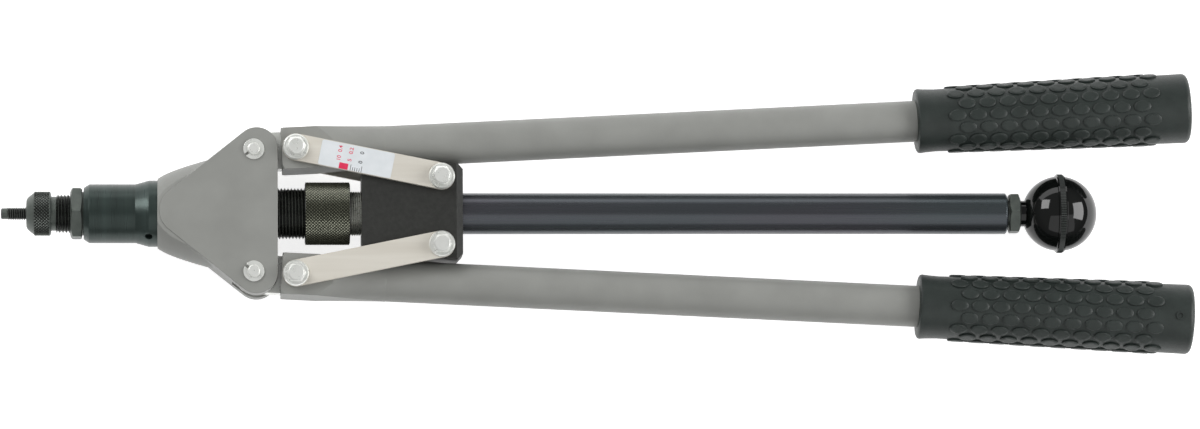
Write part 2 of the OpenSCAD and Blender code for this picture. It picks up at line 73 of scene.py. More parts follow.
# %% [markdown]
# The photograph looks almost straight down on the tool from a long way off, a little from the tool's lower side and
# from the nose end. A long lens far away keeps the barrel's rims straight and still shows a sliver of the grips'
# front faces. The aim point comes from the photograph's own scale, so the framing needs no lens shift.

# %% Camera
PHOTO_W = 1200
PHOTO_H = 429
PX_PER_MM = 2.2
ORIGIN_PX_X = 28.3
ORIGIN_PX_Y = 213.7
CAMERA_SPOT = Vector((0.08, -0.33, 3.0))
SENSOR_W = 36

view_w = PHOTO_W / PX_PER_MM * MM
aim = Vector((PHOTO_W / 2 - ORIGIN_PX_X, ORIGIN_PX_Y - PHOTO_H / 2, 0)) / PX_PER_MM * MM
look = (aim - CAMERA_SPOT).normalized()
right = (Vector((1, 0, 0)) - look * look.x).normalized()
up = right.cross(look)

camera = bpy.data.objects.new("camera", bpy.data.cameras.new("camera"))
bpy.context.scene.collection.objects.link(camera)
camera.matrix_world = Matrix.Translation(CAMERA_SPOT) @ Matrix((right, up, -look)).transposed().to_4x4()
camera.data.sensor_width = SENSOR_W
camera.data.lens = SENSOR_W * (aim - CAMERA_SPOT).length / view_w
bpy.context.scene.camera = camera
bpy.context.scene.view_settings.view_transform = "Standard"
print("lens", round(camera.data.lens), "mm")

# %% [markdown]
# The photograph has a plain white ground. More light would whiten a floor, but it would bleach the tool as well. So
# the floor is a pale diffuse plane that also glows, only for the camera and for mirror-like rays: it reads as white,
# the soft shadow stays, and no more light falls on the tool.

# %% Floor
FLOOR_REACH = 6
FLOOR_GREY = 0.8
FLOOR_GLOW = 0.8


def add_floor():
    bm = bmesh.new()
    bmesh.ops.create_grid(bm, x_segments=1, y_segments=1, size=FLOOR_REACH)
    bmesh.ops.translate(bm, verts=bm.verts, vec=(0, 0, cad_low.z))
    mesh = bpy.data.meshes.new("floor")
    bm.to_mesh(mesh)
    bm.free()
    floor = bpy.data.objects.new("floor", mesh)
    bpy.context.scene.collection.objects.link(floor)
    floor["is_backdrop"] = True
    return floor


def floor_finish():
    material = bpy.data.materials.new("floor")
    material.use_nodes = True
    nodes = material.node_tree.nodes
    links = material.node_tree.links
    nodes.clear()
    paper = nodes.new("ShaderNodeBsdfDiffuse")
    paper.inputs["Color"].default_value = (FLOOR_GREY, FLOOR_GREY, FLOOR_GREY, 1)
    glow = nodes.new("ShaderNodeEmission")
    glow.inputs["Strength"].default_value = FLOOR_GLOW
    dark = nodes.new("ShaderNodeEmission")
    dark.inputs["Strength"].default_value = 0
    path = nodes.new("ShaderNodeLightPath")
    mirrored = nodes.new("ShaderNodeMath")
    mirrored.operation = "MAXIMUM"
    links.new(path.outputs["Is Glossy Ray"], mirrored.inputs[0])
    links.new(path.outputs["Is Transmission Ray"], mirrored.inputs[1])
    seen = nodes.new("ShaderNodeMath")
    seen.operation = "MAXIMUM"
    links.new(path.outputs["Is Camera Ray"], seen.inputs[0])
    links.new(mirrored.outputs[0], seen.inputs[1])
    choose = nodes.new("ShaderNodeMixShader")
    links.new(seen.outputs[0], choose.inputs["Fac"])
    links.new(dark.outputs[0], choose.inputs[1])
    links.new(glow.outputs[0], choose.inputs[2])
    both = nodes.new("ShaderNodeAddShader")
    links.new(paper.outputs[0], both.inputs[0])
    links.new(choose.outputs[0], both.inputs[1])
    out = nodes.new("ShaderNodeOutputMaterial")
    links.new(both.outputs[0], out.inputs["Surface"])
    return material


add_floor().data.materials.append(floor_finish())
print("floor at", round(cad_low.z / MM, 1), "mm")

# %% [markdown]
# The room beyond the floor is dim, and darkest along the horizon: that is what draws the black crescents round the
# knob. One grey all round would do for the paint, but the knob would lose them, so a ramp on the height of the viewing
# direction sets the strength of the background.

# %% World
HORIZON = 0.12
ZENITH = 0.25
FADE_END = 0.5


def studio_world():
    world = bpy.data.worlds.new("studio")
    world.use_nodes = True
    nodes = world.node_tree.nodes
    links = world.node_tree.links
    way = nodes.new("ShaderNodeTexCoord")
    split = nodes.new("ShaderNodeSeparateXYZ")
    fade = nodes.new("ShaderNodeMapRange")
    fade.inputs["From Max"].default_value = FADE_END
    fade.inputs["To Min"].default_value = HORIZON
    fade.inputs["To Max"].default_value = ZENITH
    links.new(way.outputs["Generated"], split.inputs[0])
    links.new(split.outputs["Z"], fade.inputs["Value"])
    nodes["Background"].inputs["Color"].default_value = (1, 1, 1, 1)
    links.new(fade.outputs["Result"], nodes["Background"].inputs["Strength"])
    return world


bpy.context.scene.world = studio_world()
print("room light from", HORIZON, "at the horizon to", ZENITH, "overhead")

# %% [markdown]
# The knob shows where the lamps stood: a square soft box past the nose, a larger one past the grips, and a wide weak
# panel on the near side. A low panel on the far side puts the light streak along the guide tube. Each box stands
# square to the tool, as its reflection in the knob does, so it is turned by a matrix and not by a tracking rule. Sun
# lamps would be simpler, but a knob this glossy shows the shape of every lamp.

# %% Lamps
LAMPS = {
    "left_box": {"spot": (-0.51, 0.54, 0.75), "size": (0.58, 0.62), "power": 6.8},
    "right_box": {"spot": (1.49, 0.09, 0.71), "size": (0.78, 1.0), "power": 14},
    "near_panel": {"spot": (0.45, -0.9, 1.1), "size": (2.2, 1.5), "power": 6.4},
    "far_panel": {"spot": (0.0, 1.0, 0.3), "size": (1.4, 0.4), "power": 2.6},
}


def add_lamp(name, spot, size, power):
    lamp = bpy.data.lights.new(name, "AREA")
    lamp.shape = "RECTANGLE"
    lamp.size, lamp.size_y = size
    lamp.energy = power
    holder = bpy.data.objects.new(name, lamp)
    back = (Vector(spot) - aim).normalized()
    side = Vector((0, 1, 0)).cross(back).normalized()
    if abs(back.y) > abs(back.x):
        side = (Vector((1, 0, 0)) - back * back.x).normalized()
    turned = Matrix((side, back.cross(side), back)).transposed().to_4x4()
    holder.matrix_world = Matrix.Translation(spot) @ turned
    bpy.context.scene.collection.objects.link(holder)
    print(name, power, "W")


for lamp_name, lamp_facts in LAMPS.items():
    add_lamp(lamp_name, **lamp_facts)

# %% [markdown]
# One shader group serves every finish: noise on the piece's own coordinates, stretched along any axis, and mapped to
# a low and a high value. Stretched along a tube it is drawing lines; squeezed across a turned piece it is tool marks;
# left round it is paint grain. The same nodes could be repeated in every material, but a group is built once, and
# each material places it with its own numbers.

# %% Surface noise group
NOISE_DETAIL = 3
NOISE_REACH = (0.3, 0.7)


def make_noise_group():
    group = bpy.data.node_groups.new("surface noise", "ShaderNodeTree")
    sockets = group.interface
    scale = sockets.new_socket("Scale", in_out="INPUT", socket_type="NodeSocketFloat")
    scale.default_value = 1000
    stretch = sockets.new_socket("Stretch", in_out="INPUT", socket_type="NodeSocketVector")
    stretch.default_value = (1, 1, 1)
    for name, value in (("Low", 0.0), ("High", 1.0)):
        sockets.new_socket(name, in_out="INPUT", socket_type="NodeSocketFloat").default_value = value
    sockets.new_socket("Value", in_out="OUTPUT", socket_type="NodeSocketFloat")
    nodes = group.nodes
    links = group.links
    given = nodes.new("NodeGroupInput")
    result = nodes.new("NodeGroupOutput")
    place = nodes.new("ShaderNodeTexCoord")
    pull = nodes.new("ShaderNodeVectorMath")
    pull.operation = "MULTIPLY"
    noise = nodes.new("ShaderNodeTexNoise")
    noise.inputs["Detail"].default_value = NOISE_DETAIL
    spread = nodes.new("ShaderNodeMapRange")
    spread.inputs["From Min"].default_value, spread.inputs["From Max"].default_value = NOISE_REACH
    links.new(place.outputs["Object"], pull.inputs[0])
    links.new(given.outputs["Stretch"], pull.inputs[1])
    links.new(pull.outputs[0], noise.inputs["Vector"])
    links.new(given.outputs["Scale"], noise.inputs["Scale"])
    links.new(noise.outputs["Fac"], spread.inputs["Value"])
    links.new(given.outputs["Low"], spread.inputs["To Min"])
    links.new(given.outputs["High"], spread.inputs["To Max"])
    links.new(spread.outputs["Result"], result.inputs["Value"])
    return group


NOISE = make_noise_group()
print(NOISE.name, "group:", len(NOISE.nodes), "nodes")

# %% [markdown]
# Threads and knurls get a painted highlight: their crests are coloured lighter than their dark roots. Such a highlight
# could be painted by hand, but here the shape itself tells where it goes: the second group measures how far a point is
# from the tool's axis and turns that into a mask, 0 at the root and 1 at the crest.

# %% Crest highlight group


def make_crest_highlight_group():
    group = bpy.data.node_groups.new("crest highlight mask", "ShaderNodeTree")
    for name in ("Root", "Crest"):
        group.interface.new_socket(name, in_out="INPUT", socket_type="NodeSocketFloat")
    group.interface.new_socket("Mask", in_out="OUTPUT", socket_type="NodeSocketFloat")
    nodes = group.nodes
    links = group.links
    given = nodes.new("NodeGroupInput")
    result = nodes.new("NodeGroupOutput")
    place = nodes.new("ShaderNodeTexCoord")
    across = nodes.new("ShaderNodeVectorMath")
    across.operation = "MULTIPLY"
    across.inputs[1].default_value = (0, 1, 1)
    distance = nodes.new("ShaderNodeVectorMath")
    distance.operation = "LENGTH"
    mask = nodes.new("ShaderNodeMapRange")
    links.new(place.outputs["Object"], across.inputs[0])
    links.new(across.outputs[0], distance.inputs[0])
    links.new(distance.outputs["Value"], mask.inputs["Value"])
    links.new(given.outputs["Root"], mask.inputs["From Min"])
    links.new(given.outputs["Crest"], mask.inputs["From Max"])
    links.new(mask.outputs["Result"], result.inputs["Mask"])
    return group


CREST_HIGHLIGHT = make_crest_highlight_group()
print(CREST_HIGHLIGHT.name, "group:", len(CREST_HIGHLIGHT.nodes), "nodes")

# %% [markdown]
# Colours are written as a paint chart gives them, 0 to 255. The shader mixes light, so each value is turned into a
# linear one first. Two small helpers place the groups in a material.

# %% Colour and group helpers


def linear(red, green, blue):
    return tuple(((c / 255 + 0.055) / 1.055) ** 2.4 for c in (red, green, blue)) + (1,)


def place_noise(tree, scale, stretch, low, high):
    node = tree.nodes.new("ShaderNodeGroup")
    node.node_tree = NOISE
    node.inputs["Scale"].default_value = scale
    node.inputs["Stretch"].default_value = stretch
    node.inputs["Low"].default_value = low
    node.inputs["High"].default_value = high
    return node.outputs["Value"]


def paint_crest_highlight(tree, colour, highlight_colour, root, crest):
    """Lays the painted crest highlight colour over what is there, from the root radius to the crest radius."""
    mask = tree.nodes.new("ShaderNodeGroup")
    mask.node_tree = CREST_HIGHLIGHT
    mask.inputs["Root"].default_value = root
    mask.inputs["Crest"].default_value = crest
    mix = tree.nodes.new("ShaderNodeMix")
    mix.data_type = "RGBA"
    mix.inputs["B"].default_value = linear(*highlight_colour)
    tree.links.new(colour, mix.inputs["A"])
    tree.links.new(mask.outputs["Mask"], mix.inputs["Factor"])
    return mix.outputs["Result"]


print("middle grey 128 is", round(linear(128, 128, 128)[0], 3), "to the shader")

# %% [markdown]
# A finish here is two close colours that noise mixes, a roughness that wanders, and a little relief. The function
# below wires those three to one Principled shader; what is the same all over, such as how metallic it is, is set
# straight on the shader, because an exporter reads a plain value more surely than a linked one.

# %% Finish builder
ROUND = (1, 1, 1)
ALONG_X = (0.02, 1, 1)
ACROSS_X = (1, 0.03, 0.03)


def finish(name, colours, patches, rough, grain, relief, crests=None, **plain):
    """colours: two paint values; patches and grain: (scale, stretch); rough: (low, high); relief: bump in metres;
    crests: a painted highlight colour for the crests, a root radius and a crest radius."""
    material = bpy.data.materials.new(name)
    material.use_nodes = True
    tree = material.node_tree
    shader = tree.nodes["Principled BSDF"]
    mix = tree.nodes.new("ShaderNodeMix")
    mix.data_type = "RGBA"
    mix.inputs["A"].default_value = linear(*colours[0])
    mix.inputs["B"].default_value = linear(*colours[1])
    tree.links.new(place_noise(tree, *patches, 0, 1), mix.inputs["Factor"])
    colour = mix.outputs["Result"]
    if crests:
        colour = paint_crest_highlight(tree, colour, *crests)
    tree.links.new(colour, shader.inputs["Base Color"])
    tree.links.new(place_noise(tree, *grain, *rough), shader.inputs["Roughness"])
    bump = tree.nodes.new("ShaderNodeBump")
    bump.inputs["Distance"].default_value = relief
    bump.inputs["Strength"].default_value = 1
    tree.links.new(place_noise(tree, *grain, 0, 1), bump.inputs["Height"])
    tree.links.new(bump.outputs["Normal"], shader.inputs["Normal"])
    for socket, value in plain.items():
        shader.inputs[socket.replace("_", " ")].default_value = value
    print("finish:", name)
    return material


# %% [markdown]
# The head and the arms share one satin grey paint over cast iron and tube. The nose is phosphated steel, a dark
# green-grey with faint tool marks round it. Threads, the stroke nut and the mandrel are black oxide, with a painted
# highlight on their crests. The guide tube is glossier and has the blue drift that oiled oxide shows.

# %% Paint and dark steels
grey_paint = finish(
    "grey paint", ((136, 137, 133), (144, 145, 141)), (60, ROUND), (0.42, 0.52), (900, ROUND), 0.00001,
)
nose_steel = finish(
    "nose steel", ((42, 52, 49), (56, 68, 65)), (160, ACROSS_X), (0.26, 0.38), (2500, ACROSS_X), 0.000004,
    Metallic=0.5,
)
nut_steel = finish(
    "nut steel", ((75, 81, 77), (87, 93, 88)), (300, ROUND), (0.34, 0.46), (1500, ROUND), 0.000003, Metallic=0.4,
)
black_steel = finish(
    "black oxide", ((24, 25, 24), (36, 38, 35)), (300, ROUND), (0.24, 0.36), (1500, ROUND), 0.000004, Metallic=0.5,
)
crosshead_black = finish(
    "crosshead black", ((27, 28, 25), (37, 38, 35)), (500, ROUND), (0.48, 0.62), (1400, ROUND), 0.00002,
)
tube_black = finish(
    "oiled tube", ((78, 88, 90), (84, 84, 90)), (30, (0.3, 1.4, 1.4)), (0.22, 0.32), (700, ALONG_X), 0.000002,
    Metallic=0.75,
)


# Black oxide whose crests carry a painted highlight colour.
def highlit_crest_steel(name, highlight_colour, root, crest):
    return finish(
        name, ((11, 12, 11), (18, 19, 17)), (300, ROUND), (0.24, 0.34), (1500, ROUND), 0.000001,
        (highlight_colour, root, crest), Metallic=0.6,
    )


# %% [markdown]
# Bolts, pins and lugs are bright zinc. The links are nickel plated and brushed along their length, matt enough to
# look almost white. Full metal would mirror the dim room and go dark, so both platings are only part metallic. Rubber
# is a rough surface with a fine bump, and the knob is the glossiest of all.

# %% Bright metal, rubber and plastic
zinc = finish(
    "zinc plate", ((232, 234, 229), (242, 243, 239)), (150, ROUND), (0.26, 0.32), (300, ROUND), 0.000001,
    Metallic=0.45,
)
nickel = finish(
    "brushed nickel", ((209, 204, 193), (219, 215, 205)), (300, (0.05, 1, 1)), (0.42, 0.52), (1800, ALONG_X),
    0.000002, Metallic=0.2,
)
rubber = finish(
    "grip rubber", ((26, 34, 31), (36, 44, 41)), (120, ROUND), (0.42, 0.56), (1600, ROUND), 0.00003,
)
knob_plastic = finish(
    "knob plastic", ((7, 9, 8), (11, 13, 12)), (80, ROUND), (0.04, 0.08), (300, ROUND), 0.000001,
)
bronze = finish(
    "bush bronze", ((170, 130, 70), (190, 150, 86)), (200, ROUND), (0.3, 0.42), (1500, ACROSS_X), 0.00001,
    Metallic=0.9,
)

# %% [markdown]
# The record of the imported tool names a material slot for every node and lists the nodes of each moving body. Two
# look-up tables keep both at hand, and every node gets the finish of its slot, also those that hide inside the tool.

# %% A finish for every node
SLOT_FINISH = {
    "grey_paint": grey_paint, "nose_steel": nose_steel, "black_steel": black_steel,
    "black_paint": crosshead_black, "black_gloss": tube_black, "zinc_steel": zinc, "link_steel": nickel,
    "grip_rubber": rubber, "knob_plastic": knob_plastic, "bush_brass": bronze,
}
SLOT_OF = {row["node"]: row["material_slot"] for row in frame["record"]["subparts"]}
BODY_OF = {node: body for body, nodes in frame["record"]["behaviour"]["bodies"].items() for node in nodes}
for node_name, node_object in frame["nodes"].items():
    node_object.data.materials.clear()
    node_object.data.materials.append(SLOT_FINISH[SLOT_OF[node_name]])

# %% [markdown]
# Every new piece ends the same way: its bmesh becomes a mesh at the origin and rides on the body of the node that it
# stands for. It shades smooth up to an angle, and a Weighted Normal modifier lets large faces win over the small ones
# beside them, so a flat stays flat up to its rounded edge.

# %% Finishing a piece
SHARP = math.radians(35)


def add_piece(name, bm, body, slot, material=None, replaced=()):
    mesh = bpy.data.meshes.new(name)
    bm.to_mesh(mesh)
    bm.free()
    mesh.materials.append(material or SLOT_FINISH[slot])
    mesh.shade_smooth()
    mesh.set_sharp_from_angle(angle=SHARP)
    piece = bpy.data.objects.new(name, mesh)
    bpy.context.scene.collection.objects.link(piece)
    piece.modifiers.new("flat faces stay flat", "WEIGHTED_NORMAL").keep_sharp = True
    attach(piece, body)
    if replaced:
        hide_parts(*replaced)
    print(name, len(mesh.polygons), "faces")
    return piece


def stand_for(node, bm, material=None):
    return add_piece(node + "_finished", bm, BODY_OF[node], SLOT_OF[node], material, [node])


def dress(node, part, bm, material):
    """Adds a piece that goes on a node's own piece, such as its thread."""
    return add_piece(node + "_" + part, bm, BODY_OF[node], SLOT_OF[node], material)


# %% [markdown]
# Two more tools of the trade: one joins a second bmesh to a first, and one rounds edges. Rounding looks for the edges
# whose two faces meet at more than an angle, so a lathe's many small facets are left alone.

# %% Joining and rounding


def join_in(bm, other):
    mesh = bpy.data.meshes.new("part")
    other.to_mesh(mesh)
    other.free()
    bm.from_mesh(mesh)
    bpy.data.meshes.remove(mesh)


def soften(bm, width, angle=30, pick=None):
    """Rounds every edge that is sharper than the angle, or those of them that pick chooses."""
    sharp = [e for e in bm.edges if len(e.link_faces) == 2 and e.calc_face_angle() > math.radians(angle)]
    if pick:
        sharp = [e for e in sharp if pick(e)]
    bmesh.ops.bevel(
        bm, geom=sharp, offset=width, offset_type="OFFSET", affect="EDGES", segments=2, profile=0.5, material=-1,
        clamp_overlap=True,
    )
    print("rounded", len(sharp), "edges by", round(width / MM, 2), "mm")


# %% [markdown]
# Plates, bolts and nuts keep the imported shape. A copy of the node is merged, its flat triangles are dissolved into
# whole faces, and its edges are rounded, because no real edge is sharp: the thin highlight along it is what makes
# metal look like metal. A Bevel modifier on the node itself would find only loose triangles, so the merged copy comes
# first. The width follows how each piece is made.

# %% Soft edges on plates, bolts and nuts
MERGE = 0.000002
FLAT = math.radians(0.5)
EDGE_WIDTHS = {
    0.5: ["crosshead", "upper_arm_lug", "lower_arm_lug"],
    0.35: ["upper_link_front", "upper_link_back", "lower_link_front", "lower_link_back"],
    0.2: ["anvil_lock_nut", "knob_jam_nut", "head_pins"],
    0.15: ["crosshead_bolts", "crosshead_nuts", "upper_arm_bolt", "upper_arm_nut", "lower_arm_bolt",
           "lower_arm_nut", "head_pin_clips"],
}
EDGE_FINISH = {"anvil_lock_nut": nut_steel, "knob_jam_nut": nut_steel}


def merged_copy(node):
    bm = bmesh.new()
    bm.from_mesh(frame["nodes"][node].data)
    bmesh.ops.remove_doubles(bm, verts=bm.verts, dist=MERGE)
    bmesh.ops.dissolve_limit(bm, angle_limit=FLAT, verts=bm.verts, edges=bm.edges)
    return bm


for edge_width, edged_nodes in EDGE_WIDTHS.items():
    for edged_node in edged_nodes:
        copy = merged_copy(edged_node)
        soften(copy, edge_width * MM)
        stand_for(edged_node, copy, EDGE_FINISH.get(edged_node))

# %% [markdown]
# The barrel's steps are low, so a smaller angle has to find them. On the head only the rims of the two cheeks are
# rounded, and the low step from cheek to nose stays crisp.

# %% Barrel and head
BARREL_EDGE = 0.15 * MM
BARREL_ANGLE = 10
CHEEK_EDGE = 0.28 * MM
CHEEK_DEPTH = 0.05 * MM

barrel = merged_copy("nose_barrel")
soften(barrel, BARREL_EDGE, angle=BARREL_ANGLE)
stand_for("nose_barrel", barrel)

cheek_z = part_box("head_casting")[1].z - CHEEK_DEPTH
head = merged_copy("head_casting")
soften(head, CHEEK_EDGE, pick=lambda e: all(abs(v.co.z) > cheek_z for v in e.verts))
stand_for("head_casting", head)

# %% [markdown]
# Tubes and collars are turned on a lathe, and spin does the same: a half profile of points, as distance along the
# tool and radius, goes once round the X axis. A hollow piece has a closed profile. The Screw modifier could do it
# too, but spin works on the bmesh itself, so the turned piece can be rounded and joined straight away.

# %% Lathe
LATHE_STEPS = 96


def turn(bm, profile, closed=True, steps=LATHE_STEPS):
    rim = [bm.verts.new((x, r, 0)) for x, r in profile]
    edges = [bm.edges.new(pair) for pair in zip(rim, rim[1:])]
    if closed:
        edges.append(bm.edges.new((rim[-1], rim[0])))
    bmesh.ops.spin(
        bm, geom=rim + edges, cent=(0, 0, 0), axis=(1, 0, 0), dvec=(0, 0, 0), angle=math.tau, steps=steps,
        use_merge=True,
    )
    bmesh.ops.remove_doubles(bm, verts=bm.verts, dist=MERGE)
    bmesh.ops.recalc_face_normals(bm, faces=bm.faces)


def reach(node):
    """Start, end and radius of a node that is turned about the tool's axis."""
    low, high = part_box(node)
    return low.x, high.x, high.y


print("the guide tube's radius is", round(reach("guide_tube")[2] / MM, 2), "mm")

# %% [markdown]
# A thread is a tooth that climbs while it goes round. Bump could draw its lines, but not its toothed outline, so it is
# real. Spin makes it when it is given a small step along the axis with each step round it. The tooth is one pitch long,
# so neighbouring turns share their edges and merge. The screw is made too long, then cut square at both ends and the
# ends are filled. The core under a thread stays a hair below the thread's root, so the two never fight for the same
# surface.

# %% Thread cutter
THREAD_STEPS = 40
TOOTH = ((0, False), (0.1, False), (0.45, True), (0.55, True), (0.9, False), (1, False))
CORE_DROP = 0.1 * MM


def cut_thread(bm, crest, pitch, depth, start, end):
    """The tooth is a list of places along one pitch, with True where it is at the crest."""
    root = crest - depth
    turns = math.ceil((end - start) / pitch) + 2
    rim = [bm.verts.new((start + (along - 1) * pitch, crest if top else root, 0)) for along, top in TOOTH]
    edges = [bm.edges.new(pair) for pair in zip(rim, rim[1:])]
    bmesh.ops.spin(
        bm, geom=rim + edges, cent=(0, 0, 0), axis=(1, 0, 0), dvec=(pitch / THREAD_STEPS, 0, 0),
        angle=math.tau * turns, steps=THREAD_STEPS * turns, use_merge=False,
    )
    bmesh.ops.remove_doubles(bm, verts=bm.verts, dist=MERGE)
    for place, facing in ((start, -1), (end, 1)):
        whole = bm.verts[:] + bm.edges[:] + bm.faces[:]
        bmesh.ops.bisect_plane(bm, geom=whole, plane_co=(place, 0, 0), plane_no=(facing, 0, 0), clear_outer=True)
    bmesh.ops.holes_fill(bm, edges=[e for e in bm.edges if e.is_boundary])
    bmesh.ops.recalc_face_normals(bm, faces=bm.faces)
    print("thread of", turns - 2, "turns")


# %% [markdown]
# A knurl is a field of small pyramids. Cutting each groove out of the collar would be slow, so the field is made flat
# first. A grid gets a peak in each square by poke, is turned into diamonds, cut to the width of the collar, and rolled
# round it so that a whole number of diamonds closes the seam. Its two rims are
# bridged on the inside, so the knurl is a closed sleeve that sits on the collar.

# %% Knurling wheel
KNURL_DEPTH = 0.45 * MM
KNURL_PITCH = 1.5 * MM


def knurl(bm, radius, start, end, pitch, depth):
    around = round(math.tau * radius / pitch)
    cell = math.tau * radius / around
    rows = math.ceil((end - start) / cell) + 1
    squares = around + rows
    bmesh.ops.create_grid(bm, x_segments=squares, y_segments=squares, size=squares / 2)
    bmesh.ops.poke(bm, faces=bm.faces, offset=depth)
    for v in bm.verts:
        across = (v.co.x + v.co.y + around) * cell / 2
        along = (v.co.x - v.co.y) * cell / 2 + (start + end) / 2
        v.co = (along, across, v.co.z)
    cuts = (((start, 0, 0), (-1, 0, 0)), ((end, 0, 0), (1, 0, 0)), ((0, 0, 0), (0, -1, 0)),
            ((0, around * cell, 0), (0, 1, 0)))
    for place, facing in cuts:
        whole = bm.verts[:] + bm.edges[:] + bm.faces[:]
        bmesh.ops.bisect_plane(bm, geom=whole, plane_co=place, plane_no=facing, clear_outer=True)
    rims = [e for e in bm.edges if e.is_boundary and abs(e.verts[0].co.x - e.verts[1].co.x) < MERGE]
    skirt = bmesh.ops.extrude_edge_only(bm, edges=rims)["geom"]
    for v in skirt:
        if isinstance(v, bmesh.types.BMVert):
            v.co.z = -depth
    for v in bm.verts:
        r = radius - depth + v.co.z
        turned = v.co.y / radius
        v.co = (v.co.x, r * math.cos(turned), r * math.sin(turned))
    bmesh.ops.remove_doubles(bm, verts=bm.verts, dist=MERGE)
    bmesh.ops.bridge_loops(bm, edges=[e for e in bm.edges if e.is_boundary])
    bmesh.ops.recalc_face_normals(bm, faces=bm.faces)
    print("knurl of", around, "diamonds round the collar")


# %% [markdown]
# The mandrel is the screw that the rivet nut goes on. It has a plain point and goes on as a thinner shank inside the
# tool. Near the point the thread is squeezed into a cone, as a real one starts small.

# %% Mandrel
MANDREL_R = 3 * MM
MANDREL_PITCH = 1.0 * MM
MANDREL_CUT = 0.55 * MM
MANDREL_TIP_L = 2.6 * MM
MANDREL_HEAD_L = 7 * MM
MANDREL_THREAD_END = 8 * MM
POINT_R = MANDREL_R - 0.5 * MM
POINT_CHAMFER = (0.4 * MM, 0.5 * MM)
SHANK_DROP = 0.05 * MM
LAP = MM


def make_mandrel():
    tip, end, head_r = reach("mandrel")
    thread_start = tip + MANDREL_TIP_L
    point = bmesh.new()
    turn(point, [
        (tip, 0), (tip, POINT_R - POINT_CHAMFER[1]), (tip + POINT_CHAMFER[0], POINT_R),
        (thread_start + LAP, POINT_R), (thread_start + LAP, 0),
    ], closed=False)
    dress("mandrel", "tip", point, nut_steel)
    bm = bmesh.new()
    cut_thread(bm, MANDREL_R, MANDREL_PITCH, MANDREL_CUT, thread_start, MANDREL_THREAD_END)
    for v in bm.verts:
        limit = POINT_R + (v.co.x - thread_start)
        spread = math.hypot(v.co.y, v.co.z)
        if spread > limit:
            v.co.y *= limit / spread
            v.co.z *= limit / spread
    shank = bmesh.new()
    shank_start = MANDREL_THREAD_END - LAP
    shank_r = MANDREL_R - MANDREL_CUT - SHANK_DROP
    turn(shank, [
        (shank_start, 0), (shank_start, shank_r), (end - MANDREL_HEAD_L, shank_r), (end - MANDREL_HEAD_L, head_r),
        (end, head_r), (end, 0),
    ], closed=False)
    join_in(bm, shank)
    # The thread's crests get a painted highlight colour.
    stand_for("mandrel", bm, highlit_crest_steel("mandrel thread", (104, 108, 104), MANDREL_R - MANDREL_CUT, MANDREL_R))


make_mandrel()

# %% [markdown]
# The anvil is the collar that the rivet nut is pulled against: a coned front, a knurl to hold it by, a short neck and a
# threaded stem. The collar is turned with a shallow bed, and the knurl lies in it as a sleeve of its own.

# %% Anvil
ANVIL_BORE_R = 3.1 * MM
ANVIL_FACE_R = 6.1 * MM
ANVIL_BROW = (0.6 * MM, 7.3 * MM)
ANVIL_COLLAR_L = 11.2 * MM
ANVIL_KNURL_START = 3.6 * MM
ANVIL_RIM_W = 0.8 * MM
ANVIL_RIM_FLAT = 0.3 * MM
ANVIL_RIM_DROP = 0.1 * MM
ANVIL_BACK_DROP = 1.2 * MM
ANVIL_NECK_R = 7.75 * MM
ANVIL_EDGE = 0.12 * MM
ANVIL_THREAD_X = 13.5 * MM
ANVIL_THREAD_GAP = 0.2 * MM
ANVIL_STEM_R = 8.75 * MM
ANVIL_PITCH = 1.5 * MM
ANVIL_CUT = 0.8 * MM


def make_anvil():
    start, end, radius = reach("anvil")
    core = radius - KNURL_DEPTH
    rim_r = radius - ANVIL_RIM_DROP
    knurl_end = ANVIL_COLLAR_L - ANVIL_RIM_W
    stem_r = ANVIL_STEM_R - ANVIL_CUT
    collar = bmesh.new()
    turn(collar, [
        (start, ANVIL_BORE_R), (start, ANVIL_FACE_R), ANVIL_BROW, (ANVIL_KNURL_START, core), (knurl_end, core),
        (knurl_end, rim_r), (knurl_end + ANVIL_RIM_FLAT, rim_r), (ANVIL_COLLAR_L, radius - ANVIL_BACK_DROP),
        (ANVIL_COLLAR_L, ANVIL_NECK_R), (ANVIL_THREAD_X, ANVIL_NECK_R), (ANVIL_THREAD_X, stem_r - CORE_DROP),
        (end, stem_r - CORE_DROP), (end, ANVIL_BORE_R),
    ])
    soften(collar, ANVIL_EDGE)
    stand_for("anvil", collar, nut_steel)
    skin = bmesh.new()
    knurl(skin, radius, ANVIL_KNURL_START, knurl_end, KNURL_PITCH, KNURL_DEPTH)
    # The knurl's crests get a painted highlight colour.
    dress("anvil", "knurl", skin, highlit_crest_steel("anvil knurl", (108, 114, 109), core, radius))
    screw = bmesh.new()
    cut_thread(screw, ANVIL_STEM_R, ANVIL_PITCH, ANVIL_CUT, ANVIL_THREAD_X, end - ANVIL_THREAD_GAP)
    # The thread's crests get a painted highlight colour.
    dress("anvil", "thread", screw, highlit_crest_steel("anvil thread", (64, 68, 64), stem_r, ANVIL_STEM_R))


make_anvil()

# %% [markdown]
# Behind the head the sleeve carries a coarse black thread. It is a plain tube with the thread as a second piece over
# it, so that only the thread gets the painted highlight on its crests.

# %% Threaded sleeve
SLEEVE_PITCH = 1.5 * MM
SLEEVE_CUT = 0.8 * MM
SLEEVE_PLAY = 0.1 * MM


def make_sleeve():
    start, end, radius = reach("threaded_sleeve")
    bore = reach("draw_tube")[2] + SLEEVE_PLAY
    core = radius - SLEEVE_CUT
    tube = bmesh.new()
    turn(tube, [(start, bore), (start, core - CORE_DROP), (end, core - CORE_DROP), (end, bore)])
    stand_for("threaded_sleeve", tube)
    screw = bmesh.new()
    cut_thread(screw, radius, SLEEVE_PITCH, SLEEVE_CUT, start, end)
    dress("threaded_sleeve", "thread", screw, highlit_crest_steel("sleeve thread", (74, 77, 72), core, radius))


make_sleeve()

# %% [markdown]
# The stroke nut sits on the sleeve and stops the crosshead. It is turned by hand, so its knurl covers almost the
# whole width, up to a chamfer at each end.

# %% Stroke nut
NUT_PLAY = 0.05 * MM
NUT_RIM = 0.6 * MM
NUT_EDGE = 0.2 * MM


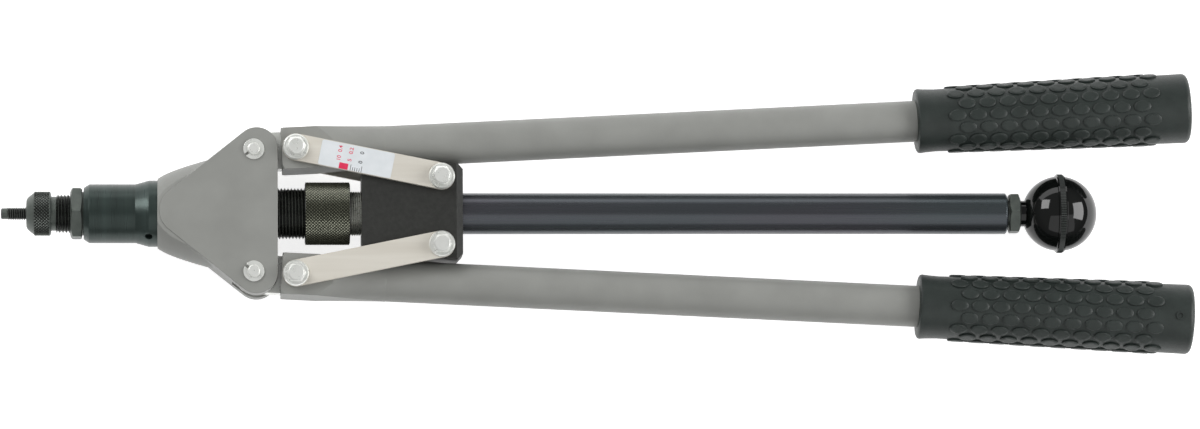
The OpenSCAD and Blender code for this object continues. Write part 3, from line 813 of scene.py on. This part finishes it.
def make_stroke_nut():
    start, end, radius = reach("stroke_nut")
    bore = reach("threaded_sleeve")[2] + NUT_PLAY
    core = radius - KNURL_DEPTH
    body = bmesh.new()
    turn(body, [
        (start, bore), (start, radius - NUT_RIM), (start + NUT_RIM, core), (end - NUT_RIM, core),
        (end, radius - NUT_RIM), (end, bore),
    ])
    soften(body, NUT_EDGE)
    stand_for("stroke_nut", body)
    skin = bmesh.new()
    knurl(skin, radius, start + NUT_RIM / 2, end - NUT_RIM / 2, KNURL_PITCH, KNURL_DEPTH)
    # The knurl's crests get a painted highlight colour.
    dress("stroke_nut", "knurl", skin, highlit_crest_steel("stroke nut knurl", (128, 130, 112), core, radius))


make_stroke_nut()

# %% [markdown]
# The draw tube shows a few fine turns of thread before it goes into the crosshead, near black in the roots and bright
# on the crests: painted shade and a painted highlight. Further forward it is plain, where it slides in the sleeve.

# %% Draw tube
DRAW_PITCH = 1.0 * MM
DRAW_CUT = 0.4 * MM
DRAW_THREAD_L = 12 * MM
DRAW_BORE_R = 8 * MM


def make_draw_tube():
    start, end, radius = reach("draw_tube")
    thread_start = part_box("crosshead")[0].x - DRAW_THREAD_L
    core = radius - DRAW_CUT
    tube = bmesh.new()
    turn(tube, [
        (start, DRAW_BORE_R), (start, radius), (thread_start, radius), (thread_start, core - CORE_DROP),
        (end, core - CORE_DROP), (end, DRAW_BORE_R),
    ])
    stand_for("draw_tube", tube)
    screw = bmesh.new()
    cut_thread(screw, radius, DRAW_PITCH, DRAW_CUT, thread_start, end)
    dress("draw_tube", "thread", screw, highlit_crest_steel("draw tube thread", (186, 188, 180), core - DRAW_CUT, radius))


make_draw_tube()

# %% [markdown]
# The guide tube is a drawn tube with a chamfered end. A few points on the lathe make it, and its rims are rounded so
# that they catch the light.

# %% Guide tube
GUIDE_WALL = 2 * MM
GUIDE_CHAMFER = 0.7 * MM
GUIDE_EDGE = 0.15 * MM


def make_guide_tube():
    start, end, radius = reach("guide_tube")
    bore = radius - GUIDE_WALL
    bm = bmesh.new()
    turn(bm, [
        (start, bore), (start, radius), (end - GUIDE_CHAMFER, radius), (end, radius - GUIDE_CHAMFER), (end, bore),
    ])
    soften(bm, GUIDE_EDGE)
    stand_for("guide_tube", bm)


make_guide_tube()

# %% [markdown]
# The knob is a moulded ball on a short neck. A raised band runs round its middle, where the two half moulds met. One
# profile holds all of it: bore, neck, ball, band and ball again.

# %% Knob
KNOB_NECK_L = 2.2 * MM
KNOB_NECK_R = 5.9 * MM
KNOB_FLAT_R = 6.5 * MM
KNOB_BORE_R = 5.04 * MM
KNOB_BORE_L = 14 * MM
KNOB_BAND_W = 4.2 * MM
KNOB_BAND_H = 0.5 * MM
KNOB_BAND_EDGE = 0.25 * MM
ARC_STEPS = 30

knob_start, knob_end, band_r = reach("ball_knob")
ball_r = band_r - KNOB_BAND_H
ball_x = knob_end - ball_r


def ball_arc(first, last):
    turns = [first + (last - first) * i / ARC_STEPS for i in range(ARC_STEPS + 1)]
    return [(ball_x - ball_r * math.cos(a), ball_r * math.sin(a)) for a in turns]


def make_knob():
    face = knob_start + KNOB_NECK_L
    bore_end = face + KNOB_BORE_L
    half_band = math.asin(KNOB_BAND_W / 2 / ball_r)
    quarter = math.pi / 2
    profile = [(bore_end, 0), (bore_end, KNOB_BORE_R), (knob_start, KNOB_BORE_R), (knob_start, KNOB_NECK_R)]
    profile += [(face, KNOB_NECK_R)]
    profile += ball_arc(math.asin(KNOB_FLAT_R / ball_r), quarter - half_band)
    profile += [(ball_x - KNOB_BAND_W / 2 + KNOB_BAND_EDGE, band_r)]
    profile += [(ball_x + KNOB_BAND_W / 2 - KNOB_BAND_EDGE, band_r)]
    profile += ball_arc(quarter + half_band, math.pi)[:-1] + [(knob_end, 0)]
    bm = bmesh.new()
    turn(bm, profile, closed=False)
    stand_for("ball_knob", bm)


make_knob()

# %% [markdown]
# The band carries fine ribs for the fingers. A ring is turned with two steps for each rib, and its outer rim is lifted
# at every other step.

# %% Ribs on the knob's band
KNOB_RIBS = 140
RIB_HALF_L = 1.2 * MM
RIB_H = 0.35 * MM
RIB_ROOT = MM


def make_knob_ribs():
    bm = bmesh.new()
    turn(bm, [
        (ball_x - RIB_HALF_L, band_r - RIB_ROOT), (ball_x - RIB_HALF_L, band_r), (ball_x + RIB_HALF_L, band_r),
        (ball_x + RIB_HALF_L, band_r - RIB_ROOT),
    ], steps=2 * KNOB_RIBS)
    step = math.pi / KNOB_RIBS
    for v in bm.verts:
        spread = math.hypot(v.co.y, v.co.z)
        place = round(math.atan2(v.co.z, v.co.y) / step)
        if spread > band_r - RIB_ROOT / 2 and place % 2:
            v.co.y *= 1 + RIB_H / spread
            v.co.z *= 1 + RIB_H / spread
    # The ribs' crests get a lighter colour, a painted highlight on the dark band.
    ribbed = finish(
        "knob ribs", ((7, 9, 8), (11, 13, 12)), (80, ROUND), (0.16, 0.24), (300, ROUND), 0.000001,
        ((66, 70, 68), band_r, band_r + RIB_H),
    )
    dress("ball_knob", "ribs", bm, ribbed)


make_knob_ribs()

# %% [markdown]
# An arm's pieces are made along X from the arm's own pivot and then swung into place. The pivot and the direction come
# from the joints: the arm turns on its head pin, and its link bolt lies on the arm's axis. A turned parent could place
# the pieces too, but a finished piece keeps its place in its own mesh, so a matrix moves the points.

# %% Arm frames
JOINT_AT = {joint["name"]: Vector(joint["pos_m"]) for joint in frame["joints"] if "pos_m" in joint}


def arm_place(side):
    pivot = JOINT_AT[side + "_arm_swing"]
    along = JOINT_AT[side + "_link_pivot"] - pivot
    return Matrix.Translation(pivot) @ Matrix.Rotation(math.atan2(along.y, along.x), 4, "Z")


def arm_reach(node, side):
    """Start, end and radius of a round node, measured along its arm."""
    back = arm_place(side).inverted()
    local = [back @ v.co for v in frame["nodes"][node].data.vertices]
    return min(p.x for p in local), max(p.x for p in local), max(p.z for p in local)


for arm_side in ("upper", "lower"):
    print(arm_side, "arm leans", round(math.degrees(arm_place(arm_side).to_euler().z), 2), "degrees")

# %% [markdown]
# Each arm is a painted tube behind a painted yoke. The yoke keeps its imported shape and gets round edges, but not at its
# back: there it dips into the tube, which starts a little earlier inside it, so the paint runs on without a seam.

# %% Arm tubes and yokes
TUBE_OVERLAP = 6 * MM
TUBE_WALL = 2 * MM
YOKE_EDGE = 0.5 * MM
YOKE_RIM = 0.5 * MM
YOKE_DIP = 0.1 * MM
YOKE_PLAIN_L = MM


def make_arm_tube(side):
    node = side + "_arm_tube"
    start, end, radius = arm_reach(node, side)
    bm = bmesh.new()
    start -= TUBE_OVERLAP
    turn(bm, [(start, radius - TUBE_WALL), (start, radius), (end, radius), (end, radius - TUBE_WALL)])
    bmesh.ops.transform(bm, matrix=arm_place(side), verts=bm.verts)
    stand_for(node, bm)


def make_yoke(side):
    node = side + "_arm_yoke"
    tube_start, _, tube_r = arm_reach(side + "_arm_tube", side)
    bm = merged_copy(node)
    bmesh.ops.transform(bm, matrix=arm_place(side).inverted(), verts=bm.verts)
    soften(bm, YOKE_EDGE, pick=lambda e: all(v.co.x < tube_start - YOKE_PLAIN_L for v in e.verts))
    for v in bm.verts:
        spread = math.hypot(v.co.y, v.co.z)
        if abs(v.co.x - tube_start) < MERGE and spread > tube_r - YOKE_RIM:
            v.co.y *= (tube_r - YOKE_DIP) / spread
            v.co.z *= (tube_r - YOKE_DIP) / spread
    bmesh.ops.transform(bm, matrix=arm_place(side), verts=bm.verts)
    stand_for(node, bm)


for arm_side in ("upper", "lower"):
    make_arm_tube(arm_side)
    make_yoke(arm_side)

# %% [markdown]
# The grips carry sixteen staggered rows of raised oval pads. One pad is made flat by extruding and insetting a circle
# of radius 1, with a wall, a rounded rim and a low crown. It has few faces, because it is used three hundred times.

# %% One pad
PAD_SEGMENTS = 16
PAD_WALL = 0.7
PAD_TOP = ((0.13, 0.25), (0.3, 0.05))


def make_pad():
    bm = bmesh.new()
    bmesh.ops.create_circle(bm, cap_ends=True, radius=1, segments=PAD_SEGMENTS)
    raised = bmesh.ops.extrude_face_region(bm, geom=bm.faces[:], use_keep_orig=True)["geom"]
    top = [f for f in raised if isinstance(f, bmesh.types.BMFace)]
    lifted = [v for v in raised if isinstance(v, bmesh.types.BMVert)]
    bmesh.ops.translate(bm, verts=lifted, vec=(0, 0, PAD_WALL))
    for thickness, depth in PAD_TOP:
        bmesh.ops.inset_region(bm, faces=top, thickness=thickness, depth=depth)
    mesh = bpy.data.meshes.new("pad")
    bm.to_mesh(mesh)
    bm.free()
    return mesh


pad_mesh = make_pad()
print("one pad has", len(pad_mesh.polygons), "faces")

# %% [markdown]
# The mould fills through a small gate near the grip's end and leaves a low ring there. It is turned on the lathe and
# stood up on the rubber, on the front of one grip and on the back of the other.

# %% Gate mark
GATE_FACING = {"upper": -1, "lower": 1}
GATE_FROM_END = 8.2 * MM
GATE_R = 1.9 * MM
GATE_W = 0.65 * MM
GATE_H = 0.45 * MM
GATE_ROOT = MM
GATE_STEPS = 32


def make_gate_mark(x, r, facing):
    inner = GATE_R - GATE_W
    bm = bmesh.new()
    turn(bm, [(-GATE_ROOT, inner), (GATE_H, inner), (GATE_H, GATE_R), (-GATE_ROOT, GATE_R)], steps=GATE_STEPS)
    stand = Matrix.Translation((x, 0, facing * r)) @ Matrix.Rotation(-facing * math.pi / 2, 4, "Y")
    bmesh.ops.transform(bm, matrix=stand, verts=bm.verts)
    return bm


print("gate mark", round(2 * GATE_R / MM, 1), "mm across")

# %% [markdown]
# The grip itself is a sleeve that widens towards its end, with a rolled lip in front, a tight corner and a low dome at
# the back. It is turned, and then each pad is bent onto it: its length runs along the arm, its width round it, and its
# height stands out. An Array modifier could repeat the pads, but on a taper each one has to be bent by itself.

# %% Grips
PAD_ROWS = 16
PADS_IN_ROW = 10
PAD_HALF_L = 3.9 * MM
PAD_HALF_W = 2.6 * MM
PAD_H = 0.95 * MM
PAD_SINK = 0.25 * MM
PAD_START = 14 * MM
PAD_PITCH = 9.4 * MM
GRIP_FRONT_R = 14.2 * MM
GRIP_PLAY = 0.04 * MM
GRIP_LIP = 9 * MM
LIP_ROLL = ((0, -0.7), (0.5, 0.2), (1.4, 0.5), (4, 0.25))
GRIP_BEND = 2.4 * MM
GRIP_DOME = 1.2 * MM
TAPER_STEPS = 8
CORNER_TURNS = [math.radians(15 * i) for i in range(6)]
DOME_SHARES = (0.9, 0.7, 0.5, 0.25, 0)


def grip_profile(start, end, end_r, bore, tube_end, radius_at):
    """LIP_ROLL gives millimetres behind the front face and out from the front radius."""
    back = end - GRIP_DOME
    corner_r = end_r - GRIP_BEND
    taper = [start + GRIP_LIP + t * (back - GRIP_BEND - start - GRIP_LIP) / TAPER_STEPS for t in range(TAPER_STEPS)]
    profile = [(start, bore)]
    profile += [(start + along * MM, GRIP_FRONT_R + out * MM) for along, out in LIP_ROLL]
    profile += [(x, radius_at(x)) for x in taper]
    profile += [(back - GRIP_BEND + GRIP_BEND * math.sin(a), corner_r + GRIP_BEND * math.cos(a)) for a in CORNER_TURNS]
    profile += [(back + GRIP_DOME * (1 - t * t), corner_r * t) for t in DOME_SHARES]
    return profile + [(tube_end, 0), (tube_end, bore)]


def bend_pad(pad, middle, spin_to, radius_at):
    bm = bmesh.new()
    bm.from_mesh(pad)
    for v in bm.verts:
        x = middle + v.co.x * PAD_HALF_L
        r = radius_at(x) - PAD_SINK + v.co.z * (PAD_H + PAD_SINK)
        turned = spin_to + v.co.y * PAD_HALF_W / radius_at(middle)
        v.co = (x, r * math.cos(turned), r * math.sin(turned))
    return bm


def make_grip(side):
    node = side + "_arm_grip"
    start, end, end_r = arm_reach(node, side)
    _, tube_end, tube_r = arm_reach(side + "_arm_tube", side)

    def radius_at(x):
        share = (x - start - GRIP_LIP) / (end - GRIP_DOME - GRIP_BEND - start - GRIP_LIP)
        return GRIP_FRONT_R + (end_r - GRIP_FRONT_R) * share

    bm = bmesh.new()
    turn(bm, grip_profile(start, end, end_r, tube_r + GRIP_PLAY, tube_end, radius_at))
    for row in range(PAD_ROWS):
        first = start + PAD_START + PAD_HALF_L + PAD_PITCH / 2 * (row % 2)
        for place in range(PADS_IN_ROW):
            join_in(bm, bend_pad(pad_mesh, first + place * PAD_PITCH, math.tau * row / PAD_ROWS, radius_at))
    gate_x = end - GATE_FROM_END
    join_in(bm, make_gate_mark(gate_x, radius_at(gate_x), GATE_FACING[side]))
    bmesh.ops.transform(bm, matrix=arm_place(side), verts=bm.verts)
    stand_for(node, bm)


for arm_side in ("upper", "lower"):
    make_grip(arm_side)

# %% [markdown]
# A printed scale on the upper front link shows the stroke that the nut is set to: the front edge of the crosshead
# points at it. A picture is the usual way to print such a scale, but thin pieces stay sharp from close by and need no
# file. Three finishes are enough, white for the plate and black and red for the ink. The frame of the link is found
# from its two bolts.

# %% Print colours and the link's frame
BOLT_FLANGE_R = 6 * MM

white_print = finish(
    "scale white", ((214, 219, 222), (222, 226, 229)), (200, ROUND), (0.3, 0.4), (600, ROUND), 0.000001,
)
black_print = finish(
    "scale black", ((30, 30, 34), (40, 40, 44)), (300, ROUND), (0.4, 0.5), (600, ROUND), 0.000001,
)
red_print = finish(
    "scale red", ((212, 38, 78), (222, 54, 92)), (300, ROUND), (0.4, 0.5), (600, ROUND), 0.000001,
)


def link_place():
    """Frame of the upper front link: X along it from its bolt on the arm, Z = 0 on its outer face."""
    near = JOINT_AT["upper_link_pivot"]
    low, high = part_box("crosshead_bolts")
    far = Vector(((low.x + high.x) / 2, high.y - BOLT_FLANGE_R, 0))
    along = far - near
    face = Vector((near.x, near.y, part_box("upper_link_front")[1].z))
    return Matrix.Translation(face) @ Matrix.Rotation(math.atan2(along.y, along.x), 4, "Z")


print("the link leans", round(math.degrees(link_place().to_euler().z), 2), "degrees")

# %% [markdown]
# The plate and its ticks are thin slabs. Numbers start as text, which has good outlines, and become a mesh before they
# are turned and placed.

# %% Slabs and numbers
SCALE_T = 0.12 * MM
INK_T = 0.03 * MM
NUMBER_SIZE = 2.5 * MM


def slab(bm, x0, x1, y0, y1, z0, z1):
    middle = Vector(((x0 + x1) / 2, (y0 + y1) / 2, (z0 + z1) / 2))
    size = Matrix.Diagonal((x1 - x0, y1 - y0, z1 - z0, 1))
    bmesh.ops.create_cube(bm, size=1, matrix=Matrix.Translation(middle) @ size)


def print_number(bm, words, x, y):
    curve = bpy.data.curves.new("number", "FONT")
    curve.body = words
    curve.align_x = "CENTER"
    curve.align_y = "CENTER"
    curve.size = NUMBER_SIZE
    curve.extrude = INK_T
    curve.offset = INK_T
    holder = bpy.data.objects.new("number", curve)
    mesh = bpy.data.meshes.new_from_object(holder)
    bpy.data.objects.remove(holder)
    bpy.data.curves.remove(curve)
    one = bmesh.new()
    one.from_mesh(mesh)
    bpy.data.meshes.remove(mesh)
    bmesh.ops.remove_doubles(one, verts=one.verts, dist=MERGE)
    stand = Matrix.Translation((x, y, SCALE_T)) @ Matrix.Rotation(math.pi / 2, 4, "Z")
    bmesh.ops.transform(one, matrix=stand, verts=one.verts)
    print("number", words, len(one.faces), "faces")
    join_in(bm, one)


# %% [markdown]
# The scale has ticks a millimetre apart, a red block for the strokes that are too long, and plain numbers in
# millimetres and inches. Black and red ink are each one piece, so each has one material.

# %% Stroke scale
SCALE_START = 11.2 * MM
SCALE_END = 44.6 * MM
SCALE_HALF_W = 5.75 * MM
SCALE_CORNER = 0.8 * MM
SCALE_ZERO = 31 * MM
TICK_W = 0.22 * MM
TICK_TOP = {True: -3.0 * MM, False: -4.1 * MM}
LONG_TICK = 5
TICKS = 6
RED_BLOCK = (6.2 * MM, 10.3 * MM)
NUMBER_SHIFT = MM
MM_ROW = -1.2 * MM
INCH_ROW = 3.1 * MM
NUMBERS = {"black": {0: ("0", "0")}, "red": {5: ("5", "0.2"), 10: ("10", "0.4")}}


def make_scale():
    plate = bmesh.new()
    slab(plate, SCALE_START, SCALE_END, -SCALE_HALF_W, SCALE_HALF_W, -SCALE_T, SCALE_T)
    soften(plate, SCALE_CORNER, pick=lambda e: abs(e.verts[0].co.z - e.verts[1].co.z) > SCALE_T)
    black = bmesh.new()
    red = bmesh.new()
    ink = (SCALE_T - INK_T, SCALE_T + INK_T)
    for stroke in range(TICKS):
        x = SCALE_ZERO - stroke * MM
        slab(black, x - TICK_W / 2, x + TICK_W / 2, -SCALE_HALF_W, TICK_TOP[stroke % LONG_TICK == 0], *ink)
    slab(red, SCALE_ZERO - RED_BLOCK[1], SCALE_ZERO - RED_BLOCK[0], -SCALE_HALF_W, TICK_TOP[True], *ink)
    for bm, columns in ((black, NUMBERS["black"]), (red, NUMBERS["red"])):
        for stroke, (metric, inch) in columns.items():
            x = SCALE_ZERO - stroke * MM - NUMBER_SHIFT
            print_number(bm, metric, x, MM_ROW)
            print_number(bm, inch, x, INCH_ROW)
    for name, bm, material in (("plate", plate, white_print), ("black", black, black_print), ("red", red, red_print)):
        bmesh.ops.transform(bm, matrix=link_place(), verts=bm.verts)
        dress("upper_link_front", "scale_" + name, bm, material)


make_scale()

# %% [markdown]
# The last cell measures the imported tool and the dressed one and prints both sizes. The two should agree, because
# dressing the tool must not change its size.

# %% Sizes
dressed_low, dressed_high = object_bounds()
for size_name, size in (("packed", cad_high - cad_low), ("dressed", dressed_high - dressed_low)):
    print(size_name, [round(side / MM, 1) for side in size], "mm")
